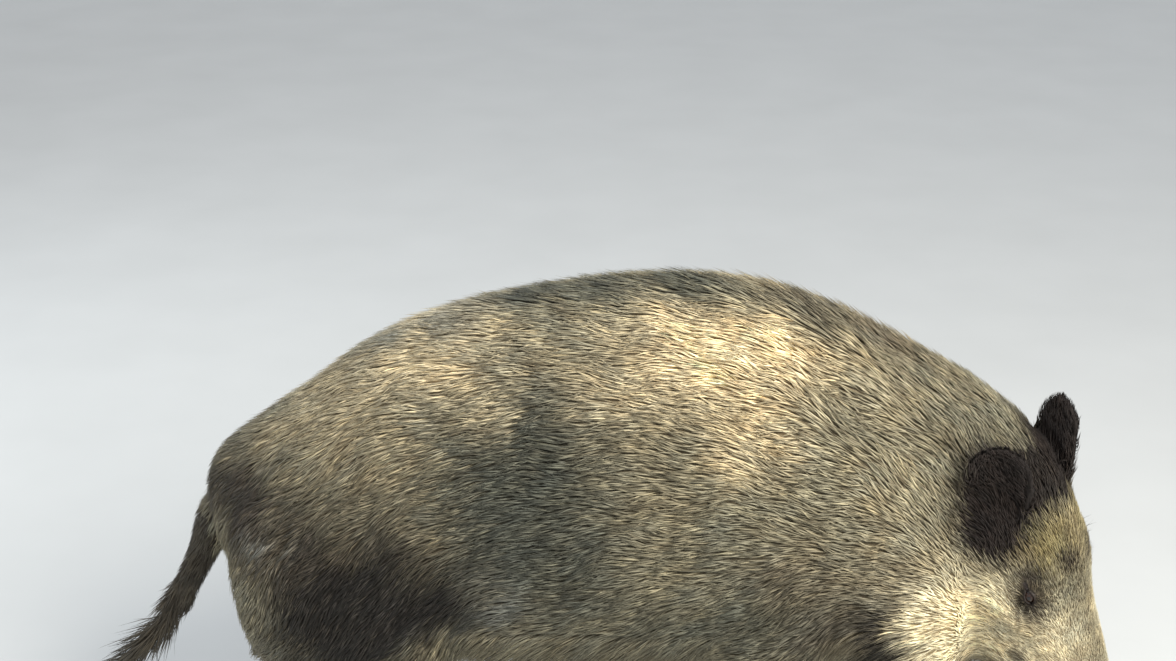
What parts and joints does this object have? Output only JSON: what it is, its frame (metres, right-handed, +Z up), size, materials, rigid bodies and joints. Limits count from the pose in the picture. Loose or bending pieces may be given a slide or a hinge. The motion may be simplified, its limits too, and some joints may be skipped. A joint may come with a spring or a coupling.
{
  "type": "wild boar",
  "caption": "Life-size still model of an adult wild boar walking with its head low and turned to its right, tail swung back, in a full winter coat.",
  "frame": {"origin": "on the floor under the middle of the bounding box, under the belly", "axes": "+X the way the boar walks, +Y its left side, +Z up"},
  "size_m": [1.5828, 0.464, 0.9114],
  "materials": {
    "coat": "bristly, matt",
    "ear": "short hair, matt",
    "eye": "wet gloss",
    "tusk": "satin",
    "hoof": "worn horn",
    "snout": "moist skin"
  },
  "bodies": {
    "root": {"dewclaw_fore_left_inner": "hoof", "dewclaw_fore_left_outer": "hoof", "dewclaw_fore_right_inner": "hoof", "dewclaw_fore_right_outer": "hoof", "dewclaw_hind_left_inner": "hoof", "dewclaw_hind_left_outer": "hoof", "dewclaw_hind_right_inner": "hoof", "dewclaw_hind_right_outer": "hoof", "ear_left": "ear", "ear_right": "ear", "eye_left": "eye", "eye_right": "eye", "foot_fore_left": "coat", "foot_fore_right": "coat", "foot_hind_left": "coat", "foot_hind_right": "coat", "forearm_left": "coat", "forearm_right": "coat", "head": "coat", "hoof_fore_left_inner": "hoof", "hoof_fore_left_outer": "hoof", "hoof_fore_right_inner": "hoof", "hoof_fore_right_outer": "hoof", "hoof_hind_left_inner": "hoof", "hoof_hind_left_outer": "hoof", "hoof_hind_right_inner": "hoof", "hoof_hind_right_outer": "hoof", "lower_jaw": "coat", "neck": "coat", "shank_left": "coat", "shank_right": "coat", "snout": "snout", "tail_root": "coat", "tail_tassel": "coat", "thigh_left": "coat", "thigh_right": "coat", "trunk": "coat", "tusk_left": "tusk", "tusk_right": "tusk", "upper_foreleg_left": "coat", "upper_foreleg_right": "coat"}
  },
  "joints": []
}
